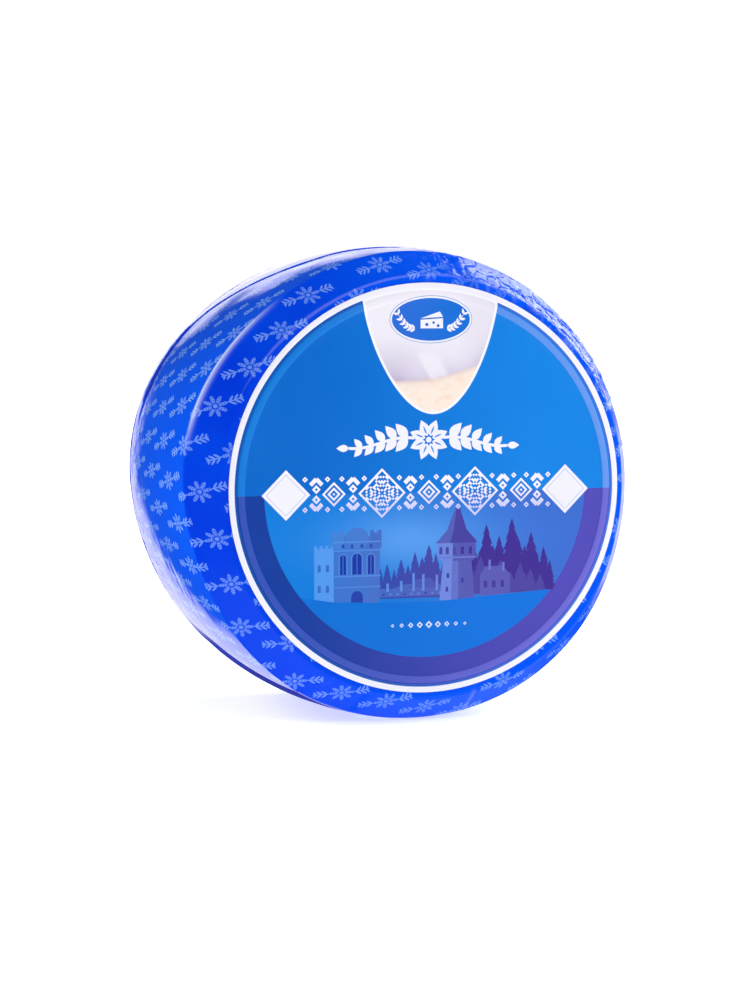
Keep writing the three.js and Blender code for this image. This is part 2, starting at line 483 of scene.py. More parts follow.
def sprig(across, up):
    """The printed mark about its own middle: an eight-petalled field flower between two leafy stems."""
    x = (across * math.cos(SPRIG_TILT) + up * math.sin(SPRIG_TILT)) * SPRIG_FINENESS
    y = (up * math.cos(SPRIG_TILT) - across * math.sin(SPRIG_TILT)) * SPRIG_FINENESS
    radius = (x * x + y * y).math("SQRT")
    angle = y.math("ARCTAN2", x)
    petal = (angle * 4).math("COSINE").math("ABSOLUTE")
    petals = (1.4 + petal * 6.2 - radius).ramp(-0.25, 0.25) * (radius - 2.1).ramp(-0.2, 0.2)
    veins = (radius * 4.2).math("SINE").ramp(-0.6, 0.3) * 0.6 + 0.4
    heart = (1.3 - radius).ramp(-0.2, 0.2)
    out = x.math("ABSOLUTE")
    high = y.math("ABSOLUTE")
    slant = (out - high * 0.9 - 8.6) / 3.1
    beside = (slant - slant.math("ROUND")).math("ABSOLUTE")
    swell = high * (3.4 - high)
    leaves = (swell * 0.11 - beside).ramp(-0.04, 0.06) * (out - high * 0.9).ramp(7.6, 7.9)
    leaves = leaves * (16.6 - out).ramp(-0.2, 0.2)
    stem = (0.42 - high).ramp(-0.15, 0.15) * out.ramp(7.2, 7.8) * (16.8 - out).ramp(-0.3, 0.3)
    return (petals * veins + heart + leaves + stem).math("MINIMUM", 1)


def sprigs(flat_x, flat_y, step):
    """The sprigs of every second cell along the first direction of the repeat."""
    (ax, ay), (bx, by) = (2 * REPEAT[0][0], 2 * REPEAT[0][1]), REPEAT[1]
    area = ax * by - ay * bx
    x = flat_x - (FIRST_SPRIG[0] + step * REPEAT[0][0])
    y = flat_y - (FIRST_SPRIG[1] + step * REPEAT[0][1])
    a = ((x * by - y * bx) / area).math("ROUND")
    b = ((y * ax - x * ay) / area).math("ROUND")
    return sprig(x - a * ax - b * bx, y - a * ay - b * by)


flat_x, flat_y, on_side = parts(printed)
# The film's state: painted shade, painted highlight, and how far it is sealed.
dark, painted_highlight, sealed = parts(state)
across_axis, _, up_axis = parts(place)
marks = sprigs(flat_x, flat_y, 0).math("MAXIMUM", sprigs(flat_x, flat_y, 1))
clouds = shader.node("TexNoise", {}, {"Vector": place, "Scale": 16, "Detail": 3})
specks = shader.node("TexNoise", {}, {"Vector": place, "Scale": 600, "Detail": 2})

# The ink is deep on the bevel and paler on the side and towards +X: a painted shade of the bevel and a
# painted light from the right. The sprigs are printed thin over it, and painted highlights whiten its sharp
# creases.
painted_light_at_x = (across_axis - AXIS_X).ramp(-0.11, 0.02) * 0.85
film_ink = on_side.math("MAXIMUM", painted_light_at_x).blend((0.0, 0.040, 0.72, 1), (0.0, 0.110, 0.95, 1))
film_ink = (clouds.ramp(0.3, 0.75) * 0.45).blend(film_ink, (0.0, 0.082, 0.86, 1))
crumpled = shader.node("Attribute", {"attribute_name": "crumpled"}, {}, 2)
coverage = marks * (specks.ramp(0.25, 0.5) * 0.2 + on_side * 0.25 + 0.30) * (1 - crumpled * 0.5)
film_ink = coverage.blend(film_ink, (0.30, 0.55, 0.97, 1))
# Painted highlight: pale blue-white along the creases, on the pinches and on the crinkles' crests.
film_ink = (painted_highlight * 0.75).math("MINIMUM", 0.8).blend(film_ink, (0.62, 0.72, 0.98, 1))

# The fine relief: soft ripples, small crumples where the film is crinkled, and the ribs of the heat-seal.
SEAL_RIBS = 420  # in a whole turn
turn_here = (up_axis - AXIS_HEIGHT).math("ARCTAN2", across_axis - AXIS_X)
seal_ribs = (turn_here * SEAL_RIBS).math("SINE")
crumple = shader.node("TexNoise", {}, {"Vector": place, "Scale": 46, "Detail": 3, "Roughness": 0.55})
ripple = shader.node("TexNoise", {}, {"Vector": place, "Scale": 260, "Detail": 2, "Roughness": 0.5})
facets = shader.node("TexVoronoi", {"feature": "DISTANCE_TO_EDGE"}, {"Vector": place, "Scale": 130})
soft = crumple * 0.16 + ripple * 0.03
sharp = crumple * 1.5 + ripple * 0.12 + facets.ramp(0.0, 0.25) * 0.3
creased = shader.node("Bump", {}, {
    "Height": soft + crumpled * sharp + sealed * 0.4 * (seal_ribs * 0.5 + 0.5),
    "Strength": 0.6,
    "Distance": 1.0 * MM,
})
gloss = shader.node("BsdfPrincipled", {}, {
    "Base Color": film_ink,
    "Roughness": 0.045 + specks * 0.03 + painted_highlight * 0.04,
    "IOR": 1.48,
    "Coat Weight": 0.1,
    "Coat Roughness": 0.03,
    "Normal": creased,
})

# Painted shade: in the folds, under the lip and in the troughs, the gloss gives way to matte dark blue.
painted_shade_finish = shader.node("BsdfPrincipled", {}, {
    "Base Color": clouds.ramp(0.35, 0.7).blend((0.0, 0.014, 0.34, 1), (0.0, 0.036, 0.62, 1)),
    "Roughness": 0.7,
    "Specular IOR Level": 0.05,
    "Normal": creased,
})
surface = shader.node("MixShader", {}, {0: dark.math("MINIMUM", 1), 1: gloss, 2: painted_shade_finish})
shader.node("OutputMaterial", {}, {"Surface": surface})
film_front.data.materials.append(film_material)
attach(film_front, "root")
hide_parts("film_front_panel")


# --- the back film -----------------------------------------------------------------------------------
# A second panel of the same film closes the back. Its rim laps over the front film on the shoulder and is
# heat-sealed there in a ribbed band. Its shrinking draws it in puckers towards the middle.

# How far round the rear shoulder the lap's edge is, how far that strays to each side, and where the film
# begins and ends its step down from the front film to the cheese.
LAP_EDGE = math.radians(22)
LAP_WANDER = math.radians(2.2)
LAP_END = math.radians(42.5)
LAP_STEPPED = math.radians(47)
LAP_RISE = 0.7 * MM


def back_outline(edge_turn, steps, middle_steps):
    """From the lap's edge over the shoulder to the middle of the back, and how far the lap lifts it."""
    lap = arc(shoulder_centre, SHOULDER_RADIUS, edge_turn, LAP_END, steps)
    step = arc(shoulder_centre, SHOULDER_RADIUS, LAP_END, LAP_STEPPED, steps // 2)
    over = arc(shoulder_centre, SHOULDER_RADIUS, LAP_STEPPED, math.pi / 2, steps)
    middle = line(over[-1], (0, BACK_Y, math.pi / 2), middle_steps)
    outline = np.concatenate([lap, step[1:], over[1:], middle])
    return outline, smooth(outline[:, 2], LAP_STEPPED, LAP_END)


def back_points(columns, steps, middle_steps, sunk, relief):
    """The grid of points of one surface of the back film, with the edge of the lap straying."""
    grids = []
    for side in (-1, 1):
        outline, lapped = back_outline(LAP_EDGE + side * LAP_WANDER, steps, middle_steps)
        lifted = outset(outline, lapped * LAP_RISE - sunk)
        grids.append(turned_points(lifted, columns, relief, sunk))
    stray = [noise.noise(Vector((math.cos(turn), math.sin(turn), 0.3)) * 4.0) for turn in turned(columns)[0]]
    share = np.clip(0.5 + np.array(stray), 0, 1)[None, :, None]
    return grids[0] * (1 - share) + grids[1] * share


BACK_STEPS = 12
BACK_MIDDLE_STEPS = 46
back_line, back_lapped = back_outline(LAP_EDGE, BACK_STEPS, BACK_MIDDLE_STEPS)
back_radius = back_line[:, :1] / MM
back_place = turned_points(back_line, COLUMNS, 0, 0)
off_lap = 1 - back_lapped[:, None]
drawn_in = creases_over(10, back_radius / 60, 31.0)
broad = creases_over(30, back_radius / 110, 12.0)
back_relief = MM * (
    0.25 * off_lap * noise_over(back_place, 55 * MM, 5.0)
    + 0.06 * noise_over(back_place, 15 * MM, 6.0)
    + 0.60 * off_lap * smooth(back_radius, 62, 118) * (drawn_in - 0.3)
    + 0.45 * off_lap * smooth(back_radius, 20, 60) * smooth(back_radius, 124, 95) * (broad - 0.3)
)
back_relief = np.maximum(back_relief, -0.2 * MM)
back_skin = Skin()
back_outer = back_skin.grid(back_points(COLUMNS, BACK_STEPS, BACK_MIDDLE_STEPS, 0, back_relief))
back_skin.cap(back_outer[1][::-1], (AXIS_X, BACK_Y, AXIS_HEIGHT))
back_inner = back_skin.grid(back_points(INNER_COLUMNS, 6, 6, FILM, 0)[::-1])
back_skin.join(back_outer[0], back_inner[1], True)
back_skin.cap(back_inner[0], (AXIS_X, BACK_Y - FILM, AXIS_HEIGHT))
film_back = back_skin.piece("film_back")

# The back's print runs on its own, out of step with the front's. Its blue is between bevel and side.
PRINT_START = (11, 6)
BACK_BLUE = 0.6
back_travel = back_radius + SHOULDER_RADIUS / MM * (math.pi / 2 - back_line[:, 2:])
back_print = np.stack([
    PRINT_START[0] - back_travel * np.cos(directions),
    PRINT_START[1] + back_travel * np.sin(directions),
    BACK_BLUE + 0 * back_relief,
], 2)
mark_points(film_back, "print_place", back_print, 3)
shoulder_degrees = np.degrees(back_line[:, 2:])
seal_band = smooth(shoulder_degrees, 24, 26) * smooth(shoulder_degrees, 41, 38)
puckered = off_lap * smooth(back_radius, 70, 118)
back_state = np.stack([
    # painted shade in the puckers' troughs
    0.25 * puckered * smooth(drawn_in, 0.2, 0.02),
    # painted highlight on the puckers' crests
    0.30 * puckered * smooth(drawn_in, 0.6, 0.95),
    seal_band + 0 * back_relief,
], 2)
mark_points(film_back, "film_state", back_state, 3)
mark_points(film_back, "crumpled", 0.35 * puckered + 0 * back_relief, 1)
film_back.data.materials.append(film_material)
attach(film_back, "root")
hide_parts("film_back_panel")


# --- the face label ----------------------------------------------------------------------------------
# A round glossy label with a white border, stuck on the film over the face. It is printed in blues with a
# folk-stitch band, a landscape below it and a white shield above. A pressed ring runs just inside its rim.

LABEL_RADIUS = (label_high.x - label_low.x) / 2 / MM
KEYLINE_RADIUS = 116.6
FIELD_RADIUS = 115.2
RING_OUTSIDE = 114.5
RING_INSIDE = 110.6
PICTURE_RADIUS = 99
BAND_HEIGHT = -2.1  # of the stitched band's middle line
ROUND_STEPS = 240

layers = []  # outlines in millimetres from the label's middle, each with its ink, in order of printing


def ink(red, green, blue):
    """The ink that looks like these levels, from 0 to 255, as a shader's colour."""
    levels = np.array((red, green, blue)) / 255
    return np.where(levels > 0.04045, ((levels + 0.055) / 1.055) ** 2.4, levels / 12.92)


def across(left, right, start=-95, end=95):
    """An ink that runs from one colour at the left to another at the right."""
    return lambda x, z: left + (right - left) * float(smooth(x, start, end))


def paint(outline, colour):
    """Prints one closed outline over what is there, its corners put in anticlockwise order."""
    area = sum(a[0] * b[1] - b[0] * a[1] for a, b in zip(outline, outline[1:] + outline[:1]))
    corners = outline if area > 0 else outline[::-1]
    layers.append((corners, colour if callable(colour) else lambda x, z: colour))


def disc(radius, middle=(0, 0), steps=ROUND_STEPS, flat=1.0):
    """A circle, an ellipse when flat isn't 1, or with four steps a square on its corner."""
    turns = [2 * math.pi * step / steps for step in range(steps)]
    x, z = middle
    return [(x + radius * math.cos(turn), z + flat * radius * math.sin(turn)) for turn in turns]


def below(radius):
    """The part of a disc that is under the stitched band's middle line."""
    start = math.asin(BAND_HEIGHT / radius)
    turns = np.linspace(math.pi - start, 2 * math.pi + start, ROUND_STEPS // 2)
    return [(radius * math.cos(turn), radius * math.sin(turn)) for turn in turns]


def block(left, bottom, right, top):
    """An upright oblong."""
    return [(left, bottom), (right, bottom), (right, top), (left, top)]


def bezier(start, first, second, end, steps):
    """Points along a cubic curve, without its last one."""
    shares = [step / steps for step in range(steps)]
    weights = [((1 - t) ** 3, 3 * t * (1 - t) ** 2, 3 * t * t * (1 - t), t ** 3) for t in shares]
    corners = (start, first, second, end)
    return [tuple(sum(w * c[axis] for w, c in zip(row, corners)) for axis in (0, 1)) for row in weights]


PAPER = ink(243, 242, 250)
SKY_LEFT, SKY_RIGHT = ink(0, 104, 200), ink(14, 134, 228)
DEEP_LEFT, DEEP_RIGHT = ink(20, 62, 155), ink(84, 78, 184)
paint(disc(LABEL_RADIUS), PAPER)
paint(disc(KEYLINE_RADIUS), across(ink(16, 84, 172), ink(66, 112, 214)))
FIELD = across(SKY_LEFT, SKY_RIGHT)
DEEP = across(DEEP_LEFT, DEEP_RIGHT)
# The pressed ring's lighter inks are a painted highlight on its slopes.
RING_HIGHLIGHT_ABOVE = across(ink(20, 124, 214), ink(104, 154, 236), -80, 110)
RING_HIGHLIGHT_BELOW = across(ink(56, 84, 180), ink(112, 108, 210))
for radius, above, under in (
    (FIELD_RADIUS, FIELD, DEEP),
    (RING_OUTSIDE, RING_HIGHLIGHT_ABOVE, RING_HIGHLIGHT_BELOW),
    (RING_INSIDE, FIELD, DEEP),
):
    paint(disc(radius), above)
    paint(below(radius), under)

# The landscape: a bright sky with one cloud, firs, a gatehouse, low roofs, a round tower and a lawn.
CLOUD = ink(96, 164, 238)
SKY = across(ink(0, 124, 216), ink(62, 112, 208), -60, 90)


def clouded_sky(x, z):
    """The sky's ink, paler towards the middle of the cloud."""
    cloud = math.exp(-((x + 8) / 46) ** 2 - ((z + 30) / 17) ** 2)
    return SKY(x, z) + 0.75 * cloud * (CLOUD - SKY(x, z))


def washed(tone):
    """The landscape's duotone: dark at 0 and light at 1, blue at the left and violet at the right."""
    dark = across(ink(20, 66, 170), ink(72, 58, 152), -70, 40)
    light = across(ink(84, 158, 236), ink(124, 132, 216), -70, 60)
    return lambda x, z: dark(x, z) + tone * (light(x, z) - dark(x, z))


def firs(start, end, base, tops, spread, tone):
    """A wood seen from the side: firs with drooping branches, their tops at the given heights."""
    spacing = (end - start) / len(tops)
    for tree, top in enumerate(tops):
        middle = start + spacing * (tree + 0.5)
        edges = {-1: [], 1: []}
        for tier in range(1, 7):
            for side, edge in edges.items():
                ragged = 1 + 0.35 * noise.noise(Vector((middle * 1.7, tier * 1.3, side)))
                reach = spread * (top - base) * (tier / 6) ** 0.8 * ragged
                height = top + (base - top) * (tier / 6) * 0.86
                edge.append((middle + side * reach, height - 0.5))
                edge.append((middle + side * reach * 0.66, height))
        trunk = [(middle - spacing * 0.5, base), (middle + spacing * 0.5, base)]
        paint([(middle, top)] + edges[-1] + trunk + edges[1][::-1], tone)


def battlements(left, right, bottom, top, teeth):
    """A wall with square teeth along its top."""
    outline = [(left, bottom), (right, bottom)]
    width = (right - left) / (2 * teeth - 1)
    for tooth in range(2 * teeth - 1):
        edge = right - tooth * width
        height = top if tooth % 2 == 0 else top - 1.6
        outline += [(edge, height), (edge - width, height)]
    return outline


def arched(middle, bottom, top, half):
    """A round-headed opening."""
    turns = np.linspace(0, math.pi, 9)
    head = [(middle + half * math.cos(turn), top - half + half * math.sin(turn)) for turn in turns]
    return [(middle - half, bottom), (middle + half, bottom)] + head


paint(below(PICTURE_RADIUS), clouded_sky)
far_trees = [-46, -43.5, -47, -41, -44.5, -37, -40, -33, -38, -44]
firs(-31, 12, -64, far_trees, 0.24, washed(0.08))
near_trees = [-33, -37, -22, -34, -29, -38, -18.5, -30, -35, -27, -40, -36, -44]
firs(27, 79, -62, near_trees, 0.23, washed(-0.06))
firs(24, 74, -63, [-46, -41, -48, -43, -50, -45, -49, -52], 0.36, washed(0.12))

# The gatehouse, its side wall in the light.
paint(battlements(-69, -57, -66, -32, 4), washed(0.92))
paint(block(-57.2, -66, -29, -27), washed(0.42))
paint(battlements(-58, -51, -34, -23.5, 2), washed(0.55))
paint(battlements(-35, -28, -34, -23.5, 2), washed(0.38))
paint(disc(7.2, (-43, -28), 40, 0.85), washed(0.50))
for level, tone in ((-30.6, 0.75), (-35.6, 0.70), (-50.6, 0.72), (-57, 0.65)):
    paint(block(-57.6, level, -28.6, level + 0.9), washed(tone))
for middle, top, half in ((-51.5, -37.5, 1.9), (-43, -36.8, 2.9), (-34.5, -37.5, 1.9)):
    paint(arched(middle, -49.4, top + 0.7, half + 0.8), washed(0.70))
    paint(arched(middle, -49.2, top, half), washed(-0.05))
    paint(block(middle - 0.22, -49.2, middle + 0.22, top), washed(0.55))
for middle in (-51.5, -46, -40, -34.5):
    paint(arched(middle, -33.6, -31.4, 0.8), washed(0.05))
paint(arched(-43, -66, -58.8, 3.6), washed(0.0))
for middle, bottom in ((-66, -43), (-61, -43), (-66, -55), (-61, -55)):
    paint(arched(middle, bottom - 4.2, bottom, 1.0), washed(0.35))

# Low roofs between the gatehouse and the tower.
paint([(-29, -63), (12, -63), (12, -58.5), (4, -54.6), (-14, -56), (-22, -58.4), (-29, -58)], washed(0.34))
paint([(-12, -58), (8, -58), (2, -52.4), (-7, -53.2)], washed(0.24))
for left, top in ((-25, -55.4), (-16.6, -54.2), (-9, -49.8), (-3, -50.6), (5.4, -51.2)):
    paint(block(left, -60, left + 1.5, top), washed(0.85))
    paint(block(left - 0.3, top, left + 1.8, top + 0.6), washed(0.45))
for step in range(9):
    paint(block(-27.5 + 4.3 * step, -62.2, -25.9 + 4.3 * step, -60.9), washed(0.66 if step % 3 else 0.1))

# The round tower: a lit drum, a wider parapet with windows and a tall pointed roof.
paint([(7.8, -66), (29.6, -66), (27.6, -42), (10, -42)], washed(0.30))
paint([(7.8, -66), (15, -66), (15.6, -42), (10, -42)], washed(0.92))
paint([(15, -66), (19.5, -66), (19.5, -42), (15.6, -42)], washed(0.58))
paint([(9.4, -43), (28.6, -43), (30.4, -40.6), (30.4, -32), (6.6, -32), (6.6, -40.6)], washed(0.26))
paint([(9.4, -43), (16, -43), (16, -32), (6.6, -32), (6.6, -40.6)], washed(0.86))
paint(block(6.2, -41.4, 30.8, -40.4), washed(0.70))
for middle in (8.6, 12.6, 17, 22, 27):
    paint(arched(middle, -39, -34.6, 0.95), washed(0.10 if middle < 20 else -0.05))
roof_foot = [(5.4, -32.4), (31.6, -32.4)]
roof_top = [(24.6, -24.5), (20.6, -12.4), (19, -9.2), (17.4, -12.4), (12.4, -25)]
paint(roof_foot + roof_top, washed(0.06))
paint([(5.4, -32.4), (14.4, -32.4), (16.6, -25), (18.4, -11), (17.4, -12.4), (12.4, -25)], washed(0.32))
paint(block(18.7, -10, 19.2, -5.6), washed(0.20))
for middle, bottom in ((13, -50), (12.4, -58), (22, -53)):
    paint(arched(middle, bottom - 3.0, bottom, 0.75), washed(0.0))

# A house under the firs, the wood's edge and the lawn in front.
paint([(33, -64), (52, -64), (52, -52), (47, -46.4), (36, -47), (33, -52)], washed(0.34))
paint(block(38.4, -49, 39.8, -43), washed(0.75))
paint(block(47, -50, 48.4, -44.6), washed(0.75))
for left in (35.4, 40.6, 46):
    paint(block(left, -59.4, left + 2.2, -55.4), washed(0.02))
lawn = [(-74, -61.4), (-57, -65), (-29, -66.2), (8, -66.4), (40, -64), (76, -58.4)]
lawn_rim = [(x, z) for x, z in below(PICTURE_RADIUS) if z < -60]
LAWN = across(ink(0, 112, 210), ink(10, 116, 220), -60, 70)
paint([lawn_rim[0]] + lawn[1:-1] + lawn_rim[::-1], LAWN)

# The stitched band: every figure is worked in squares that stand on a corner.
STITCH = 0.855  # from the middle of a square to its corner
LILAC = ink(205, 205, 245)


def thread(x, z):
    """The white of the stitches, which turns lilac towards the foot of the band."""
    return PAPER + float(smooth(z, 4, -14)) * (LILAC - PAPER)


def squares(middle, size, low_a, low_b, high_a, high_b):
    """A block of squares, counted along the two slanting directions from the middle of a figure."""
    corners = ((low_a, low_b), (high_a, low_b), (high_a, high_b), (low_a, high_b))
    return [(middle[0] + size * (a - b), middle[1] + size * (a + b)) for a, b in corners]


def figure(middle, size, worked, flip=1):
    """Works the cells for which worked(a, b) is true, in runs of one direction. The rest stays bare."""
    for a in range(-9, 10):
        b = -9
        while b < 10:
            run = b
            while run < 10 and worked(a, run):
                run += 1
            if run > b:
                outline = squares(middle, size, a - 0.5, b - 0.5, a + 0.5, run - 0.5)
                paint([(x, middle[1] + flip * (z - middle[1])) for x, z in outline], thread)
            b = run + 1


def small_diamond(a, b):
    """Two hollow diamonds, one in the other, round a single square."""
    return max(abs(a), abs(b)) in (4, 2, 0)


ROSETTE = (
    "..##.#..#",
    ".#..##..#",
    "#..#..#.#",
    "#.#.##.##",
    ".#.##..##",
    "##.#..#.#",
    "..#..#..#",
    "...##...#",
    "#########",
)


def rosette(a, b):
    """The large diamond: the quarter above, mirrored both ways."""
    return max(abs(a), abs(b)) < 9 and ROSETTE[abs(a)][abs(b)] == "#"


def chevron(a, b):
    """A thick roof over a small hollow square, in squares from the bottom corner."""
    roof = max(a, b) in (4, 5) and min(a, b) > 0 and not a == b == 5
    return roof or (0 <= a < 3 and 0 <= b < 3 and not a == b == 1)


SIDE_DIAMOND = 14.6  # from the middle to a corner
FIGURES = (
    (-85.9, "bare"),
    (-57, "small"),
    (-27.7, "large"),
    (1.2, "small"),
    (29.8, "large"),
    (58.7, "small"),
    (86.5, "bare"),
)
HALF_WIDTH = {"bare": SIDE_DIAMOND, "small": 7.0, "large": 13.0}
for x, kind in FIGURES:
    middle = (x, BAND_HEIGHT)
    if kind == "bare":
        for inset, colour in ((0, PAPER), (2.4, ink(196, 204, 232)), (3.0, PAPER)):
            paint(disc(SIDE_DIAMOND - inset, middle, 4), colour)
    elif kind == "small":
        figure(middle, STITCH * 0.93, small_diamond)
    else:
        figure(middle, STITCH, rosette)
for (left, kind), (right, other) in zip(FIGURES, FIGURES[1:]):
    x = (left + HALF_WIDTH[kind] + right - HALF_WIDTH[other]) / 2
    for side in (-1, 1):
        figure((x, BAND_HEIGHT + side * 1.2), STITCH * 1.02, chevron, side)
        for end in (-1, 1):
            tiny = (x + end * 6.8, BAND_HEIGHT + side * 8.8)
            for reach, colour in ((1.7, thread), (0.6, SKY_RIGHT)):
                paint(disc(reach, tiny, 4), colour)


def leaf(root, turn, length, width):
    """A pointed leaf, from its root along a direction."""
    along = (math.cos(turn), math.sin(turn))
    edges = []
    for edge in (1, -1):
        for step in range(8):
            t = step / 8 if edge > 0 else 1 - step / 8
            u = length * t
            v = edge * width / 2 * math.sin(math.pi * t ** 0.8)
            edges.append((root[0] + u * along[0] - v * along[1], root[1] + u * along[1] + v * along[0]))
    return edges


# A leafy garland with one open flower, in the middle of the upper field.
GARLAND = (1.0, 28.5)
STEM = range(9, 50)  # how far out the stem runs on each side
for side in (-1, 1):
    rise = [2.6 * math.sin(reach / 9.5) - 0.02 * reach for reach in STEM]
    stem = [(GARLAND[0] + side * reach, GARLAND[1] + z) for reach, z in zip(STEM, rise)]
    under = [(x, z - 1.7) for x, z in stem]
    paint(stem + under[::-1], PAPER)
    for step, reach in enumerate((13, 20, 27, 34, 41)):
        root = stem[reach - STEM.start]
        size = 1.0 - 0.09 * step
        for up in (-1, 1):
            lean = up * math.radians(48)
            turn = lean if side > 0 else math.pi - lean
            paint(leaf((root[0], root[1] - 0.8), turn, 11.0 * size, 6.0 * size), PAPER)
    paint(leaf((stem[-1][0], stem[-1][1] - 0.8), 0 if side > 0 else math.pi, 7.5, 4.2), PAPER)
for petal in range(8):
    turn = math.pi / 4 * petal + math.pi / 8
    root = (GARLAND[0] + 2.4 * math.cos(turn), GARLAND[1] + 2.4 * math.sin(turn))
    paint(leaf(root, turn, 10.0, 6.0), PAPER)
    paint(leaf((root[0] + 1.2 * math.cos(turn), root[1] + 1.2 * math.sin(turn)), turn, 5.2, 1.0), SKY_RIGHT)
paint(disc(1.7, GARLAND, 20), PAPER)

# A short row of stitches in the lawn.
for step in range(-4, 5):
    reach = 2.2 - 0.28 * abs(step)
    paint(disc(reach, (1.2 + 5.6 * step, -80), 4), ink(214, 226, 250))
    paint(disc(reach * 0.45, (1.2 + 5.6 * step, -80), 4), LAWN)

# The white shield, with a wheel in its cloth and the bare cheese showing under the cloth's hem.
SHIELD_TIP = (4.0, 43.4)
SHIELD_TOP = 40.2  # half the width at the rim


def shield(inset):
    """The shield's outline: two curved sides from the rim down to a tip, inset evenly."""
    half = SHIELD_TOP - inset + 1.4
    middle = 2.2
    top = math.sqrt(KEYLINE_RADIUS ** 2 - half ** 2) - 0.6 * inset
    tip = (SHIELD_TIP[0], SHIELD_TIP[1] + inset)
    down = bezier((middle - half, top), (middle - half + 3, 84), (tip[0] - 21 + inset, tip[1]), tip, 30)
    up = bezier(tip, (tip[0] + 21 - inset, tip[1]), (middle + half - 3, 84), (middle + half, top), 30)
    turns = np.linspace(math.atan2(top, middle + half), math.atan2(top, middle - half), 24)
    rim = [(math.hypot(top, half) * math.cos(turn), math.hypot(top, half) * math.sin(turn)) for turn in turns]
    return down + up + rim


CLOTH = ink(240, 236, 243)
CREAM = ink(252, 236, 220)


def in_shield(x, z):
    """The picture in the shield: folds of pale cloth, its shaded hem, and cheese below."""
    hem = 66.5 - 2.2 * math.cos((x - 4) / 14) + 0.16 * (x - 4)
    over = z - hem
    shade = math.exp(-max(over, 0) / 7.5) * (0.75 + 0.25 * math.sin(x / 5.0))
    drape = 0.22 * float(smooth(x, 6, -14)) * float(smooth(z, 92, 72)) + 0.10 * float(smooth(x, 14, 30))
    slant = x + 0.55 * (z - 68)
    lifted = float(smooth(slant, -1.5, 1.0) * smooth(slant, 15, 9) * smooth(z, 82, 76))
    shadow = np.clip(0.62 * shade * (1 - 0.8 * lifted) + drape * (1 - lifted), 0, 1)
    cloth = CLOTH + shadow * (ink(172, 150, 192) - CLOTH)
    crumbs = noise.fractal(Vector((x / 4.5, z / 3.0, 0.4)), 1.0, 2.0, 3)
    cheese_ink = CREAM + min(max(crumbs, 0), 1) * 0.5 * (ink(244, 200, 150) - CREAM)
    contact = math.exp(-max(-over, 0) / 1.6)
    cheese_ink = cheese_ink + 0.55 * contact * (ink(196, 164, 172) - cheese_ink)
    share = float(smooth(over, -0.5, 0.5))
    return cheese_ink + share * (cloth - cheese_ink)


paint(shield(0), ink(246, 249, 255))
paint(shield(1.5), in_shield)

# The oval badge: a plain wedge of cheese between two leafy twigs.
BADGE = (2.3, 98.6)
BADGE_HALF = 24.0
BADGE_FLAT = 0.52
for reach, colour in (
    (BADGE_HALF + 1.5, ink(150, 180, 224)),
    (BADGE_HALF + 1.0, PAPER),
    (BADGE_HALF, across(ink(42, 110, 214), ink(20, 112, 214), -20, 24)),
):
    flat = (BADGE_HALF * BADGE_FLAT + reach - BADGE_HALF) / reach
    paint(disc(reach, BADGE, 80, flat), colour)
wedge_top = [(-6.4, 0.6), (5.4, 4.6), (7.4, 1.4)]
wedge_side = [(-6.4, -0.2), (7.4, 0.6), (7.4, -5.2), (-6.4, -5.2)]
for outline in (wedge_top, wedge_side):
    paint([(BADGE[0] + x, BADGE[1] + z) for x, z in outline], PAPER)
for x, z, size in ((-2.6, -3.0, 1.0), (1.6, -1.9, 0.8), (4.4, -3.7, 0.9)):
    paint(disc(size, (BADGE[0] + x, BADGE[1] + z), 14), ink(42, 110, 214))
for side in (-1, 1):
    twig = [(BADGE[0] + side * (10 + 1.0 * step), BADGE[1] - 5.5 + 0.085 * step * step) for step in range(11)]
    paint(twig + [(x, z - 0.55) for x, z in twig[::-1]], PAPER)
    for step in (0, 2, 4, 6, 8, 10):
        for up in (-1, 1):
            turn = math.radians(12 + 4.4 * step) + up * math.radians(42)
            paint(leaf(twig[step], turn if side > 0 else math.pi - turn, 3.4, 1.5), PAPER)

# Everything is cut into one mosaic, where each triangle takes the ink that was printed over it last. Rings
# at the rim and at both sides of the pressed ring, and loose points between, let it follow the relief.
RIM_ROUND = 0.15  # the rim's rounding
RING_SLOPE = 0.9  # half the width of the pressed ring's sides
FILL = 5.0
SHIELD_FILL = 1.6
SHIELD_FOOT = 44
ROW_HEIGHT = 0.866  # of even triangles, whose side is 1
rings = [LABEL_RADIUS, LABEL_RADIUS - RIM_ROUND / 2, LABEL_RADIUS - 2 * RIM_ROUND]
for edge in (RING_INSIDE, RING_OUTSIDE):
    rings += [edge + step * RING_SLOPE / 2 - RING_SLOPE for step in range(5)]
corners = []
outlines = []
for outline in [outline for outline, colour in layers] + [disc(ring) for ring in rings]:
    outlines.append(list(range(len(corners), len(corners) + len(outline))))
    corners += [Vector(corner) for corner in outline]


def loose_points(spacing, columns, rows, foot, reach):
    """Points on a grid of even triangles, as far from the label's middle as reach."""
    row_height = spacing * ROW_HEIGHT
    places = [
        Vector((spacing * (column + 0.5 * (row % 2)), foot + row_height * row))
        for row in rows
        for column in columns
    ]
    return [place for place in places if place.length < reach]


corners += loose_points(FILL, range(-24, 25), range(-26, 27), 0, RING_INSIDE - 3)
corners += loose_points(SHIELD_FILL, range(-22, 27), range(45), SHIELD_FOOT, LABEL_RADIUS)
mosaic = geometry.delaunay_2d_cdt(corners, [], outlines, 1, 1e-4)


def label_relief(x, z):
    """How far the label's front stands out at a place, in millimetres."""
    radius = math.hypot(x, z)
    inner_slope = smooth(radius, RING_INSIDE - RING_SLOPE, RING_INSIDE + RING_SLOPE)
    outer_slope = smooth(radius, RING_OUTSIDE + RING_SLOPE, RING_OUTSIDE - RING_SLOPE)
    wave = noise.noise(Vector((x / 48, z / 48, 3.0))) * smooth(radius, 118, 100)
    rounding = smooth(radius, LABEL_RADIUS - 2 * RIM_ROUND, LABEL_RADIUS)
    return float(0.34 * inner_slope * outer_slope + 0.10 * wave - RIM_ROUND * rounding)


